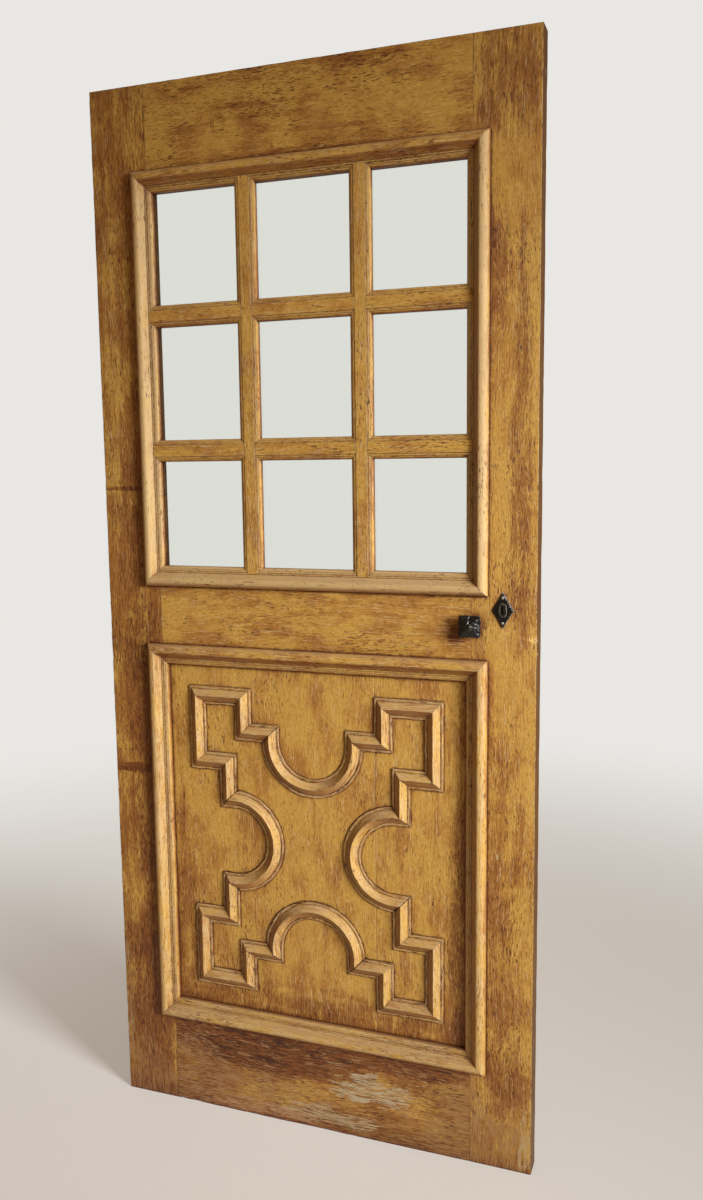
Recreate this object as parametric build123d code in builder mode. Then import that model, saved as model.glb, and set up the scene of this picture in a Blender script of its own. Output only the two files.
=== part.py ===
"""Glazed door leaf in pine: three panes by three above a strapwork panel.

Millimetres. X runs from the hinge edge to the lock edge, Y from the front
to the back with 0 in the middle of the thickness, and Z up from the sill.
"""
import os
from math import sqrt

from build123d import *

os.makedirs("parts", exist_ok=True)

# Leaf: two stiles and three rails
leaf_width = 850.0
leaf_height = 2000.0
leaf_thickness = 40.0
stile_width = 115.0
top_rail_height = 183.5
lock_rail_bottom = 928.5
lock_rail_height = 174.0
bottom_rail_height = 211.0

# Blind tenons, in line with the panel groove
tenon_thickness = 14.0
tenon_length = 70.0
tenon_setback = 14.0
tenon_haunch = 42.0
tenon_end_gap = 2.0
lock_pocket_bottom = 985.0
lock_pocket_height = 83.0

# Lower panel of two tongued boards
panel_recess = 9.0
panel_thickness = 18.0
panel_tongue = 10.0
seam_from_middle = 125.0
seam_tongue_thickness = 6.0
seam_tongue_reach = 8.0
seam_tongue_gap = 0.3
seam_chamfer = 1.2

# Bolection moulding round both openings: s across it, h above the leaf's face
moulding_overlap = 30.0
moulding_lip = 10.0
moulding_ridge_height = 15.0
moulding_ridge_place = 14.0
moulding_outer_fillet = 2.5
moulding_foot_place = 27.0
moulding_foot_height = 4.0
quirk_width = 0.6
quirk_depth = 1.8

# Points on the bolection's curves: the outer one as shares of its ridge's
# place and height, the others as steps from where round turns to hollow
outer_curve_share = (0.3, 0.785)
turn_rise = 0.8
round_step = (-2.4, 3.0)
hollow_step = (3.4, -3.6)

# Edge that the moulding and the glazing bars share, so that they mitre
flat_height = 3.5
strip_height = 2.4
strip_width = 3.9
bead_width = 5.0
bead_top = 1.5

# Glazing bars, centre lines from the hinge edge and from the sill
bar_flat_width = 22.0
bar_fin_width = 12.0
upright_bar_places = (315.5, 535.2)
cross_bar_places = (1332.5, 1583.0)

# Glass and the wooden beads that hold it from behind
glass_thickness = 3.0
glass_edge_gap = 1.5
back_bead_width = 9.0
back_bead_depth = 12.0
back_bead_splay = 5.0

# Strapwork on the lower panel, mitred from one symmetric moulding
strap_width = 36.0
strap_ridge_height = 13.0
strap_edge_height = 3.5
strap_edge_width = 5.0
strap_arc_radius = 85.0
strap_stub = 15.0
strap_side_stub = 13.0
strap_top_level = 222.0
strap_side_level = 177.0
ear_inner_width = 143.0
ear_outer_width = 240.0
ear_top_level = 290.0
ear_bottom_level = 158.5

# Keyhole and its plate
keyhole_from_edge = 59.5
keyhole_level = 1049.0
keyhole_width = 8.0
keyhole_height = 18.0
plate_width = 39.0
plate_height = 65.0
plate_thickness = 2.5
plate_bevel_angle = 40.0
collar_wall = 3.0
collar_height = 2.5

# Knob on a spindle through the leaf
knob_level = 1020.5
knob_width = 39.0
knob_corner_radius = 4.0
knob_notch = 3.0
rim_height = 14.0
rim_thickness = 2.5
crown_height = 24.0
crown_flat = 9.0
crown_groove_side = 2.2
boss_radius = 5.5
boss_height = 2.8
boss_chamfer = 2.0
neck_radius = 7.0
neck_collar_radius = 9.0
neck_collar_height = 2.5
spindle_radius = 5.0
spindle_clearance = 0.1
spindle_cover = 4.0
rose_radius = 13.0
rose_thickness = 2.0
turning_gap = 0.3

# Places worked out from the sizes above
front = -leaf_thickness / 2
back = leaf_thickness / 2
front_normal = Vector(0, -1, 0)
opening_left = stile_width
opening_right = leaf_width - stile_width
lock_rail_top = lock_rail_bottom + lock_rail_height
top_rail_bottom = leaf_height - top_rail_height
panel_front = front + panel_recess
panel_back = panel_front + panel_thickness
panel_middle = (panel_front + panel_back) / 2
groove_depth = panel_tongue + tenon_end_gap
moulding_width = moulding_overlap + moulding_lip
edge_width = strip_width + quirk_width + bead_width
bar_width = bar_flat_width + 2 * edge_width
bar_tongue = moulding_width - moulding_foot_place - quirk_width
fin_back = panel_front + glass_thickness + back_bead_depth
panel_seam = (opening_left + opening_right) / 2 + seam_from_middle
knob_place = opening_right
spindle_end = crown_height - spindle_cover


def block(low, high, mode=Mode.ADD):
    """Add or cut the box between two corners."""
    size = Vector(*high) - Vector(*low)
    with Locations(low):
        Box(size.X, size.Y, size.Z, align=(Align.MIN, Align.MIN, Align.MIN), mode=mode)


def keep(part, name):
    """Label a finished piece and write it."""
    part.label = name
    export_step(part, f"parts/{name}.step")


def keep_all(pieces, name):
    """Write like pieces that don't touch as one group."""
    keep(Compound(children=list(pieces)), name)


# Each rail: its bottom and top, and the levels of its tenons
rails = {
    "top_rail": (
        top_rail_bottom,
        leaf_height,
        [(top_rail_bottom + tenon_setback, leaf_height - tenon_haunch)],
    ),
    "lock_rail": (
        lock_rail_bottom,
        lock_rail_top,
        [
            (lock_rail_bottom + tenon_setback, lock_pocket_bottom),
            (lock_pocket_bottom + lock_pocket_height, lock_rail_top - tenon_setback),
        ],
    ),
    "bottom_rail": (
        0.0,
        bottom_rail_height,
        [(tenon_haunch, bottom_rail_height - tenon_setback)],
    ),
}
keyhole_place = (leaf_width - keyhole_from_edge, front, keyhole_level)
keyhole_plane = Plane(origin=keyhole_place, x_dir=(1, 0, 0), z_dir=front_normal)


def cut_spindle_hole():
    """Bore for the knob's spindle, through the leaf on the joint line."""
    with Locations(Plane(origin=(knob_place, front, knob_level), z_dir=front_normal)):
        Hole(spindle_radius + spindle_clearance, depth=leaf_thickness)


def stile(inner_edge, outer_edge, has_lock):
    """Upright with blind mortises for the rails and a groove for the panel."""
    side = 1.0 if outer_edge > inner_edge else -1.0
    left, right = sorted((inner_edge, outer_edge))
    mortise = sorted((inner_edge, inner_edge + side * (tenon_length + tenon_end_gap)))
    groove = sorted((inner_edge, inner_edge + side * groove_depth))
    with BuildPart() as upright:
        block((left, front, 0), (right, back, leaf_height))
        for _, _, tenons in rails.values():
            for low, high in tenons:
                block(
                    (mortise[0], panel_middle - tenon_thickness / 2, low),
                    (mortise[1], panel_middle + tenon_thickness / 2, high),
                    Mode.SUBTRACT,
                )
        block(
            (groove[0], panel_front, bottom_rail_height - groove_depth),
            (groove[1], panel_back, lock_rail_bottom + groove_depth),
            Mode.SUBTRACT,
        )
        if has_lock:
            cut_spindle_hole()
            with BuildSketch(keyhole_plane):
                SlotOverall(keyhole_height, keyhole_width, rotation=90)
            extrude(amount=-leaf_thickness, mode=Mode.SUBTRACT)
    return upright.part


keep(stile(opening_left, 0.0, has_lock=False), "hinge_stile")
keep(stile(opening_right, leaf_width, has_lock=True), "lock_stile")

for name, (low, high, tenons) in rails.items():
    with BuildPart() as rail:
        block((opening_left, front, low), (opening_right, back, high))
        for tenon_low, tenon_high in tenons:
            block(
                (opening_left - tenon_length, panel_middle - tenon_thickness / 2, tenon_low),
                (opening_right + tenon_length, panel_middle + tenon_thickness / 2, tenon_high),
            )
        if name == "lock_rail":
            cut_spindle_hole()
            block(
                (opening_left, panel_front, lock_rail_bottom),
                (opening_right, panel_back, lock_rail_bottom + groove_depth),
                Mode.SUBTRACT,
            )
        if name == "bottom_rail":
            block(
                (opening_left, panel_front, bottom_rail_height - groove_depth),
                (opening_right, panel_back, bottom_rail_height),
                Mode.SUBTRACT,
            )
    keep(rail.part, name)

# Panel boards: the left one has the tongue, the right one the groove
panel_bottom = bottom_rail_height - panel_tongue
panel_top = lock_rail_bottom + panel_tongue
seam_low = panel_middle - seam_tongue_thickness / 2
seam_high = panel_middle + seam_tongue_thickness / 2

with BuildPart() as board_left:
    block((opening_left - panel_tongue, panel_front, panel_bottom), (panel_seam, panel_back, panel_top))
    chamfer(board_left.edges().filter_by(Axis.Z).group_by(Axis.X)[-1].sort_by(Axis.Y)[0], seam_chamfer)
    block((panel_seam, seam_low, panel_bottom), (panel_seam + seam_tongue_reach, seam_high, panel_top))
keep(board_left.part, "panel_board_left")

with BuildPart() as board_right:
    block((panel_seam, panel_front, panel_bottom), (opening_right + panel_tongue, panel_back, panel_top))
    chamfer(board_right.edges().filter_by(Axis.Z).group_by(Axis.X)[0].sort_by(Axis.Y)[0], seam_chamfer)
    block(
        (panel_seam, seam_low, panel_bottom),
        (panel_seam + seam_tongue_reach + seam_tongue_gap, seam_high, panel_top),
        Mode.SUBTRACT,
    )
keep(board_right.part, "panel_board_right")


def shared_edge(start, side):
    """Strip, quirk and bead from the flat down to the back of the lip.

    start is where the flat ends, and side is 1 or -1, the way the edge runs.
    """
    strip_end = start + side * strip_width
    bead_start = strip_end + side * quirk_width
    bead_end = bead_start + side * bead_width
    quarter = bead_width * sqrt(0.5)
    bead_bottom = bead_top - bead_width
    Polyline((start, flat_height), (start, strip_height), (strip_end, strip_height),
             ((strip_end + bead_start) / 2, strip_height - quirk_depth), (bead_start, bead_top))
    round_middle = (bead_start + side * quarter, bead_bottom + quarter)
    ThreePointArc((bead_start, bead_top), round_middle, (bead_end, bead_bottom))
    Line((bead_end, bead_bottom), (bead_end, -panel_recess))
    return bead_end


def bolection_profile():
    """Section of the raised moulding, s to the right and h up."""
    foot = (moulding_foot_place, moulding_foot_height)
    crest = (moulding_ridge_place, moulding_ridge_height)
    outer = (moulding_ridge_place * outer_curve_share[0], moulding_ridge_height * outer_curve_share[1])
    turn = (
        (moulding_ridge_place + moulding_foot_place) / 2,
        (moulding_ridge_height + moulding_foot_height) / 2 + turn_rise,
    )
    flat_start = moulding_foot_place + quirk_width
    flat_end = moulding_width - edge_width
    with BuildSketch() as section:
        with BuildLine():
            edge = (0, moulding_outer_fillet)
            Polyline((moulding_overlap, -panel_recess), (moulding_overlap, 0), (0, 0), edge)
            ThreePointArc(edge, outer, crest)
            ThreePointArc(crest, (turn[0] + round_step[0], turn[1] + round_step[1]), turn)
            ThreePointArc(turn, (turn[0] + hollow_step[0], turn[1] + hollow_step[1]), foot)
            Polyline(foot, (foot[0] + quirk_width / 2, flat_height - quirk_depth), (flat_start, flat_height),
                     (flat_end, flat_height))
            lip = shared_edge(flat_end, 1)
            Line((lip, -panel_recess), (moulding_overlap, -panel_recess))
        make_face()
    return section.sketch


def run_plane(start, along):
    """Section plane at a point of a path, its height towards the front."""
    return Plane(origin=start, x_dir=front_normal.cross(along), z_dir=along)


def mitred_run(profile, points, index, overrun):
    """One straight length of a closed path, mitred to its neighbours."""
    before, start, end, after = (points[(index + step) % len(points)] for step in (-1, 0, 1, 2))
    along = (end - start).normalized()
    with BuildPart() as run:
        with BuildSketch(run_plane(start - along * overrun, along)):
            add(profile)
        extrude(amount=(end - start).length + 2 * overrun)
        split(bisect_by=Plane(origin=start, z_dir=(start - before).normalized() + along), keep=Keep.TOP)
        split(bisect_by=Plane(origin=end, z_dir=(after - end).normalized() + along), keep=Keep.BOTTOM)
    return run.part


def bar_tip(place, turn, reach):
    """Outline of a bar's end: its edges mitred, its flat running on to reach."""
    half, flat = bar_width / 2, bar_flat_width / 2
    with Locations(place):
        Polygon((0, -half), (edge_width, -flat), (reach, -flat), (reach, flat), (edge_width, flat), (0, half),
                rotation=turn, align=None)


def frame_path(bottom, top):
    """Outer edge of the moulding round one opening, seen turning left."""
    left = opening_left - moulding_overlap
    right = opening_right + moulding_overlap
    low = bottom - moulding_overlap
    high = top + moulding_overlap
    corners = ((left, low), (right, low), (right, high), (left, high))
    return [Vector(across, front, level) for across, level in corners]


sight_left = opening_left + moulding_lip
sight_right = opening_right - moulding_lip
sight_bottom = lock_rail_top + moulding_lip
sight_top = top_rail_bottom - moulding_lip
face_plane = Plane(origin=(0, front, 0), x_dir=(1, 0, 0), z_dir=front_normal)
sides = ("bottom", "right", "top", "left")
bolection = bolection_profile()

for index, side in enumerate(sides):
    keep(mitred_run(bolection, frame_path(bottom_rail_height, lock_rail_bottom), index, 0.0),
         f"lower_moulding_{side}")

# The upper moulding is notched for the ends of the glazing bars
bar_ends = {
    "bottom": [((place, sight_bottom), -90) for place in upright_bar_places],
    "right": [((sight_right, place), 0) for place in cross_bar_places],
    "top": [((place, sight_top), 90) for place in upright_bar_places],
    "left": [((sight_left, place), 180) for place in cross_bar_places],
}
for index, side in enumerate(sides):
    with BuildPart() as length:
        add(mitred_run(bolection, frame_path(lock_rail_top, top_rail_bottom), index, 0.0))
        with BuildSketch(face_plane):
            for place, turn in bar_ends[side]:
                bar_tip(place, turn, bar_tongue)
        extrude(amount=leaf_thickness, both=True, mode=Mode.SUBTRACT)
    keep(length.part, f"upper_moulding_{side}")


def bar_front_profile():
    """Moulded front of a glazing bar, centred on its line."""
    flat = bar_flat_width / 2
    with BuildSketch() as section:
        with BuildLine():
            Line((-flat, flat_height), (flat, flat_height))
            right = shared_edge(flat, 1)
            left = shared_edge(-flat, -1)
            Line((left, -panel_recess), (right, -panel_recess))
        make_face()
    return section.sketch


bar_front = bar_front_profile()


def upright_bar(place):
    """Through bar, notched at its sides for the cross bars."""
    with BuildPart() as bar:
        length = sight_top - sight_bottom + 2 * bar_tongue
        with BuildSketch(run_plane(Vector(place, front, sight_bottom - bar_tongue), Vector(0, 0, 1))):
            add(bar_front)
        extrude(amount=length)
        with BuildSketch(face_plane):
            with Locations((place, (sight_bottom + sight_top) / 2)):
                Rectangle(bar_width, sight_top - sight_bottom)
            bar_tip((place, sight_top), 90, bar_tongue)
            bar_tip((place, sight_bottom), -90, bar_tongue)
        extrude(amount=leaf_thickness, both=True, mode=Mode.INTERSECT)
        with BuildSketch(face_plane):
            for level in cross_bar_places:
                bar_tip((place + bar_width / 2, level), 180, edge_width)
                bar_tip((place - bar_width / 2, level), 0, edge_width)
        extrude(amount=leaf_thickness, both=True, mode=Mode.SUBTRACT)
        # The tongues lie on the rails, so nothing of them goes down into the wood
        for low, high in ((0, lock_rail_top), (top_rail_bottom, leaf_height)):
            block((place - bar_width, front, low), (place + bar_width, back, high), Mode.SUBTRACT)
        block(
            (place - bar_fin_width / 2, panel_front, lock_rail_top),
            (place + bar_fin_width / 2, fin_back, top_rail_bottom),
        )
    return bar.part


def cross_bar(level, left, right):
    """Short bar between two uprights, or an upright and the frame.

    left and right give, for each end, the line where its edges stop, how far
    its flat runs on, and where its fin stops.
    """
    with BuildPart() as bar:
        reach = max(left["reach"], right["reach"])
        with BuildSketch(run_plane(Vector(left["edge"] - reach, front, level), Vector(1, 0, 0))):
            add(bar_front)
        extrude(amount=right["edge"] - left["edge"] + 2 * reach)
        with BuildSketch(face_plane):
            with Locations(((left["edge"] + right["edge"]) / 2, level)):
                Rectangle(right["edge"] - left["edge"], bar_width)
            bar_tip((left["edge"], level), 180, left["reach"])
            bar_tip((right["edge"], level), 0, right["reach"])
        extrude(amount=leaf_thickness, both=True, mode=Mode.INTERSECT)
        for low, high in ((0, opening_left), (opening_right, leaf_width)):
            block((low, front, level - bar_width), (high, back, level + bar_width), Mode.SUBTRACT)
        block(
            (left["fin"], panel_front, level - bar_fin_width / 2),
            (right["fin"], fin_back, level + bar_fin_width / 2),
        )
    return bar.part


for place, name in zip(upright_bar_places, ("glazing_bar_left", "glazing_bar_right")):
    keep(upright_bar(place), name)

# Each column of panes: how its cross bars end on the left and on the right
frame_left = {"edge": sight_left, "reach": bar_tongue, "fin": opening_left}
frame_right = {"edge": sight_right, "reach": bar_tongue, "fin": opening_right}
columns = []
column_start = frame_left
for place in upright_bar_places:
    at_left, at_right = (
        {"edge": place + way * bar_width / 2, "reach": edge_width, "fin": place + way * bar_fin_width / 2}
        for way in (-1, 1)
    )
    columns.append((column_start, at_left))
    column_start = at_right
columns.append((column_start, frame_right))

for level, name in zip(cross_bar_places, ("cross_bars_lower", "cross_bars_upper")):
    keep_all([cross_bar(level, left, right) for left, right in columns], name)

# Each row of panes: its bottom and top, between the rails and the bars' fins
row_edges = [lock_rail_top]
for level in cross_bar_places:
    row_edges += [level - bar_fin_width / 2, level + bar_fin_width / 2]
row_edges.append(top_rail_bottom)
rows = list(zip(row_edges[::2], row_edges[1::2]))
glass_front = panel_front
glass_back = glass_front + glass_thickness


def pane(left, right, bottom, top):
    """One sheet of glass against the backs of the bars."""
    with BuildPart() as sheet:
        block((left + glass_edge_gap, glass_front, bottom + glass_edge_gap),
              (right - glass_edge_gap, glass_back, top - glass_edge_gap))
    return sheet.part


for (bottom, top), name in zip(rows, ("glass_bottom_row", "glass_middle_row", "glass_top_row")):
    keep_all([pane(left["fin"], right["fin"], bottom, top) for left, right in columns], name)


def back_bead(start, end):
    """Splayed strip that holds the glass, its upright wall at the left of its run."""
    along = (end - start).normalized()
    with BuildPart() as strip:
        with BuildSketch(run_plane(start, along)):
            with BuildLine():
                Polyline((0, 0), (back_bead_width, 0), (back_bead_width, back_bead_splay - back_bead_depth),
                         (back_bead_width - back_bead_splay, -back_bead_depth), (0, -back_bead_depth),
                         close=True)
            make_face()
        extrude(amount=(end - start).length)
    return strip.part


upright_beads = []
level_beads = []
for left, right in columns:
    for bottom, top in rows:
        x0, x1 = left["fin"], right["fin"]
        inner_left, inner_right = x0 + back_bead_width, x1 - back_bead_width
        upright_beads.append(back_bead(Vector(x0, glass_back, top), Vector(x0, glass_back, bottom)))
        upright_beads.append(back_bead(Vector(x1, glass_back, bottom), Vector(x1, glass_back, top)))
        ends = Vector(inner_left, glass_back, bottom), Vector(inner_right, glass_back, bottom)
        level_beads.append(back_bead(*ends))
        ends = Vector(inner_right, glass_back, top), Vector(inner_left, glass_back, top)
        level_beads.append(back_bead(*ends))
keep_all(upright_beads, "glazing_beads_upright")
keep_all(level_beads, "glazing_beads_level")


def strap_profile():
    """Ridged body between two flat strips, centred on its line."""
    outer = strap_width / 2
    inner = outer - strap_edge_width
    foot = (inner - quirk_width, strap_edge_height - quirk_depth)
    ridge = (0, strap_ridge_height)
    with BuildSketch() as section:
        with BuildLine():
            Polyline((0, 0), (outer, 0), (outer, strap_edge_height), (inner, strap_edge_height), foot, ridge)
            mirror(about=Plane.YZ)
        make_face()
    return section.sketch


strap = strap_profile()


# Strapwork figure: arcs on the four sides and an ear at each corner
panel_centre = Vector(
    (opening_left + opening_right) / 2,
    panel_front,
    (bottom_rail_height + lock_rail_bottom) / 2,
)


def on_panel(u, v):
    """Point on the panel's face, across and up from its centre."""
    return panel_centre + Vector(u, 0, v)


ear = [
    (strap_arc_radius, strap_top_level - strap_stub), (strap_arc_radius, strap_top_level),
    (ear_inner_width, strap_top_level), (ear_inner_width, ear_top_level), (ear_outer_width, ear_top_level),
    (ear_outer_width, ear_bottom_level), (strap_side_level, ear_bottom_level),
    (strap_side_level, strap_arc_radius), (strap_side_level - strap_side_stub, strap_arc_radius),
]
ears = {
    "top_right": [on_panel(u, v) for u, v in ear],
    "bottom_right": [on_panel(u, -v) for u, v in reversed(ear)],
    "bottom_left": [on_panel(-u, -v) for u, v in ear],
    "top_left": [on_panel(-u, v) for u, v in reversed(ear)],
}
for corner, points in ears.items():
    lengths = [mitred_run(strap, points, index, strap_width / 2) for index in range(1, len(points) - 2)]
    level = [length for length in lengths if length.bounding_box().size.X > length.bounding_box().size.Z]
    upright = [length for length in lengths if length.bounding_box().size.X <= length.bounding_box().size.Z]
    keep_all(level, f"strap_crosspieces_{corner}")
    keep_all(upright, f"strap_uprights_{corner}")


def strap_arc(outward, end_level, stub):
    """Half-round strap with a short straight stub at each end, mitred there.

    outward points from the middle of the panel to the side where its ends are.
    """
    across = outward.cross(front_normal)
    middle = panel_centre + outward * (end_level - stub)
    with BuildPart() as bow:
        with BuildSketch(run_plane(middle - across * strap_arc_radius, -outward)):
            add(strap)
        revolve(axis=Axis(middle, front_normal), revolution_arc=180)
        for side in (-1, 1):
            stub_start = middle + across * (side * strap_arc_radius)
            with BuildSketch(run_plane(stub_start, outward)):
                add(strap)
            extrude(amount=stub + strap_width / 2)
            mitre = Plane(origin=stub_start + outward * stub, z_dir=-outward - across * side)
            split(bisect_by=mitre, keep=Keep.TOP)
    return bow.part


for name, outward, end_level, stub in (
    ("strap_arcs_top_bottom", Vector(0, 0, 1), strap_top_level, strap_stub),
    ("strap_arcs_left_right", Vector(1, 0, 0), strap_side_level, strap_side_stub),
):
    keep_all([strap_arc(outward * way, end_level, stub) for way in (1, -1)], name)

# Keyhole plate: a bevelled diamond with an oval collar
half_width, half_height = plate_width / 2, plate_height / 2
with BuildPart() as keyhole_plate:
    with BuildSketch(keyhole_plane):
        Polygon((0, half_height), (-half_width, 0), (0, -half_height), (half_width, 0), align=None)
    extrude(amount=plate_thickness, taper=plate_bevel_angle)
    with BuildSketch(keyhole_plane):
        SlotOverall(keyhole_height + 2 * collar_wall, keyhole_width + 2 * collar_wall, rotation=90)
    extrude(amount=plate_thickness + collar_height)
    with BuildSketch(keyhole_plane):
        SlotOverall(keyhole_height, keyhole_width, rotation=90)
    extrude(amount=plate_thickness + collar_height, mode=Mode.SUBTRACT)
keep(keyhole_plate.part, "keyhole_plate")


def knob_head(face, normal):
    """Square rosette of four petals on an eight-sided neck, with a boss in the middle."""
    base = Plane(origin=(knob_place, face, knob_level), x_dir=(1, 0, 0), z_dir=normal)
    half_knob, half_flat = knob_width / 2, crown_flat / 2
    crown_foot = rim_height + rim_thickness
    neck_foot = rose_thickness + turning_gap
    with BuildPart() as head:
        # The crown slopes to all four sides, as two crossing hipped lengths leave it
        for along, mode in ((base.x_dir, Mode.ADD), (base.y_dir, Mode.INTERSECT)):
            with BuildSketch(Plane(origin=base.origin, x_dir=normal.cross(along), z_dir=along)):
                Polygon((-half_knob, rim_height), (half_knob, rim_height), (half_knob, crown_foot),
                        (half_flat, crown_height), (-half_flat, crown_height), (-half_knob, crown_foot),
                        align=None)
            extrude(amount=half_knob, both=True, mode=mode)
        # Grooves between the petals run down the middle of the four slopes
        for turn in range(0, 360, 90):
            outward = base.x_dir.rotate(Axis(base.origin, normal), turn)
            rim_middle = base.origin + outward * half_knob + normal * crown_foot
            uphill = (normal * (crown_height - crown_foot) - outward * (half_knob - half_flat)).normalized()
            with BuildSketch(Plane(origin=rim_middle - uphill, x_dir=outward.cross(normal), z_dir=uphill)):
                Rectangle(crown_groove_side, crown_groove_side, rotation=45)
            extrude(amount=knob_width / 2, mode=Mode.SUBTRACT)
        with BuildSketch(base):
            RectangleRounded(knob_width, knob_width, knob_corner_radius)
            with PolarLocations(half_knob, 4):
                Rectangle(knob_notch, knob_notch, rotation=45, mode=Mode.SUBTRACT)
        extrude(amount=crown_height, mode=Mode.INTERSECT)
        with BuildSketch(base.offset(crown_height - boss_height)):
            RegularPolygon(boss_radius, 8)
        extrude(amount=2 * boss_height)
        chamfer(head.faces().sort_by(Axis(base.origin, normal))[-1].edges(), boss_chamfer)
        with BuildSketch(base.offset(neck_foot)):
            RegularPolygon(neck_radius, 8)
        extrude(amount=rim_height - neck_foot)
        for collar_foot in (neck_foot, rim_height - neck_collar_height):
            with BuildSketch(base.offset(collar_foot)):
                RegularPolygon(neck_collar_radius, 8)
            extrude(amount=neck_collar_height)
        with BuildSketch(base):
            Circle(spindle_radius)
        extrude(amount=spindle_end, mode=Mode.SUBTRACT)
    return head.part


for face, normal, name in ((front, Vector(0, -1, 0), "knob_front"), (back, Vector(0, 1, 0), "knob_back")):
    keep(knob_head(face, normal), name)

with BuildPart() as spindle:
    with BuildSketch(Plane(origin=(knob_place, 0, knob_level), z_dir=front_normal)):
        Circle(spindle_radius)
    extrude(amount=leaf_thickness / 2 + spindle_end, both=True)
keep(spindle.part, "knob_spindle")

for face, normal, name in ((front, Vector(0, -1, 0), "rose_front"), (back, Vector(0, 1, 0), "rose_back")):
    with BuildPart() as rose:
        with BuildSketch(Plane(origin=(knob_place, face, knob_level), z_dir=normal)):
            RegularPolygon(rose_radius, 8)
            Circle(spindle_radius + spindle_clearance, mode=Mode.SUBTRACT)
        extrude(amount=rose_thickness)
    keep(rose.part, name)
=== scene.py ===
# %% [markdown]
# # An old glazed pine door
# The real thing is a joiner's leaf of old pine: two stiles, three rails, nine panes held by moulded
# bars, and a panel with strapwork. Its wood was stained ochre, waxed, and then handled and washed for
# a very long time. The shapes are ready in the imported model, so this script gives each one its finish,
# wears its edges and lights it.

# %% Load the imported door
from math import atan2, hypot, pi, radians

import bmesh
import bpy
from mathutils import Matrix, Vector, noise


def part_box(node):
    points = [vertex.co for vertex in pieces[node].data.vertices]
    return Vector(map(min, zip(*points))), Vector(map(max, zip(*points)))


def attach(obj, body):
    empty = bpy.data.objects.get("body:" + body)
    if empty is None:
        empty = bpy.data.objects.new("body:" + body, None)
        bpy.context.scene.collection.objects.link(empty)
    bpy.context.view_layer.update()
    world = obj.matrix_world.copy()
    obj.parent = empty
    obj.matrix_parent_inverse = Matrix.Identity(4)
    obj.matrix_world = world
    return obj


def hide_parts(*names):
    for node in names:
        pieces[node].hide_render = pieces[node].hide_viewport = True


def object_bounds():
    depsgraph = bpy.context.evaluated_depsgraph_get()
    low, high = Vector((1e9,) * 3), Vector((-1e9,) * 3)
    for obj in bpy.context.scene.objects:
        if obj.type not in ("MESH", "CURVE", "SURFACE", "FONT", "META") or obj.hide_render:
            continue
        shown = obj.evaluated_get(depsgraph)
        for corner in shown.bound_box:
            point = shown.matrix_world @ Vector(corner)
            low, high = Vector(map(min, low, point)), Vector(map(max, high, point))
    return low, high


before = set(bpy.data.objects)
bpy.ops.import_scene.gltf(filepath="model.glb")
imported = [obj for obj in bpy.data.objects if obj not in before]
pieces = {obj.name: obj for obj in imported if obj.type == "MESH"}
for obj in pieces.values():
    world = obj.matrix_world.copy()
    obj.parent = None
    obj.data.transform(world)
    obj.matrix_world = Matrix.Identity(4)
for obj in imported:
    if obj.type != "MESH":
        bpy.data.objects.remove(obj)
cad_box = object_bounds()
leaf_middle = (cad_box[0] + cad_box[1]) / 2
print(len(pieces), "pieces, box", [tuple(round(value, 4) for value in corner) for corner in cad_box])

# %% [markdown]
# ## Camera
# The photograph was taken with a fairly wide lens from the lock side of the door, a little above its
# middle. A camera can be pushed about by eye until the outlines agree, but the lens and the distance
# trade places so easily that one never knows which is right. The four corners of the leaf fix the place,
# the turn and the focal length together, so the camera is set from the values that they gave.

# %% Camera at the photograph's place
camera_place = Vector((1.1557, -1.7818, 1.3026))
camera_azimuth = radians(20.08)
camera_tilt = radians(-7.43)
camera_roll = radians(-0.68)
camera_lens = 31.13
sensor_width = 36

camera_data = bpy.data.cameras.new("camera")
camera_data.sensor_width = sensor_width
camera_data.lens = camera_lens
camera = bpy.data.objects.new("camera", camera_data)
camera.matrix_world = (
    Matrix.Translation(camera_place)
    @ Matrix.Rotation(camera_azimuth, 4, "Z")
    @ Matrix.Rotation(pi / 2 + camera_tilt, 4, "X")
    @ Matrix.Rotation(camera_roll, 4, "Z")
)
bpy.context.scene.collection.objects.link(camera)
bpy.context.scene.camera = camera
print("camera", round((camera_place - leaf_middle).length, 3), "m from the middle of the leaf")

# %% [markdown]
# ## Wear the pieces down
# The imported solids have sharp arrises, and no arris of an old door is sharp. Dusters, hands and luggage
# round a ridge by two or three millimetres, an inner edge by less, and leave nicks where it stands proud.
# A bump in the material could hint at that, but the outline would stay as straight as a ruler, so the
# wear is cut into the meshes. Each piece is copied, its triangles are merged back into whole faces, and
# it is cut across its run every centimetre or so. The corners that this makes on its free arrises are
# pushed in a little, unevenly, and then those arrises are rounded by a bevel.

# %% Whole faces, cut across their run
same_corner = 0.000001
same_plane = radians(0.5)
on_the_cut = 0.00001
unevenness = 0.35
uneven_waves = 90


def merged(name):
    """Copy of a piece with its loose triangles joined to whole faces."""
    shape = bmesh.new()
    shape.from_mesh(pieces[name].data)
    bmesh.ops.remove_doubles(shape, verts=shape.verts, dist=same_corner)
    bmesh.ops.dissolve_limit(shape, angle_limit=same_plane, verts=shape.verts, edges=shape.edges)
    return shape


def cut_across(shape, run, step):
    """Cut across the run at uneven steps, so that an arris has corners that can be moved."""
    ends = [vertex.co.dot(run) for vertex in shape.verts]
    place = min(ends) + step
    while place < max(ends) - step / 2:
        uneven = place + unevenness * step * noise.noise(run * place * uneven_waves)
        bmesh.ops.bisect_plane(shape, geom=[*shape.verts, *shape.edges, *shape.faces], dist=on_the_cut,
                               plane_co=run * uneven, plane_no=run)
        place += step


trial = merged("lock_stile")
triangles = len(pieces["lock_stile"].data.polygons)
print("the lock stile has", triangles, "triangles and", len(trial.faces), "faces")
trial.free()

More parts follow.
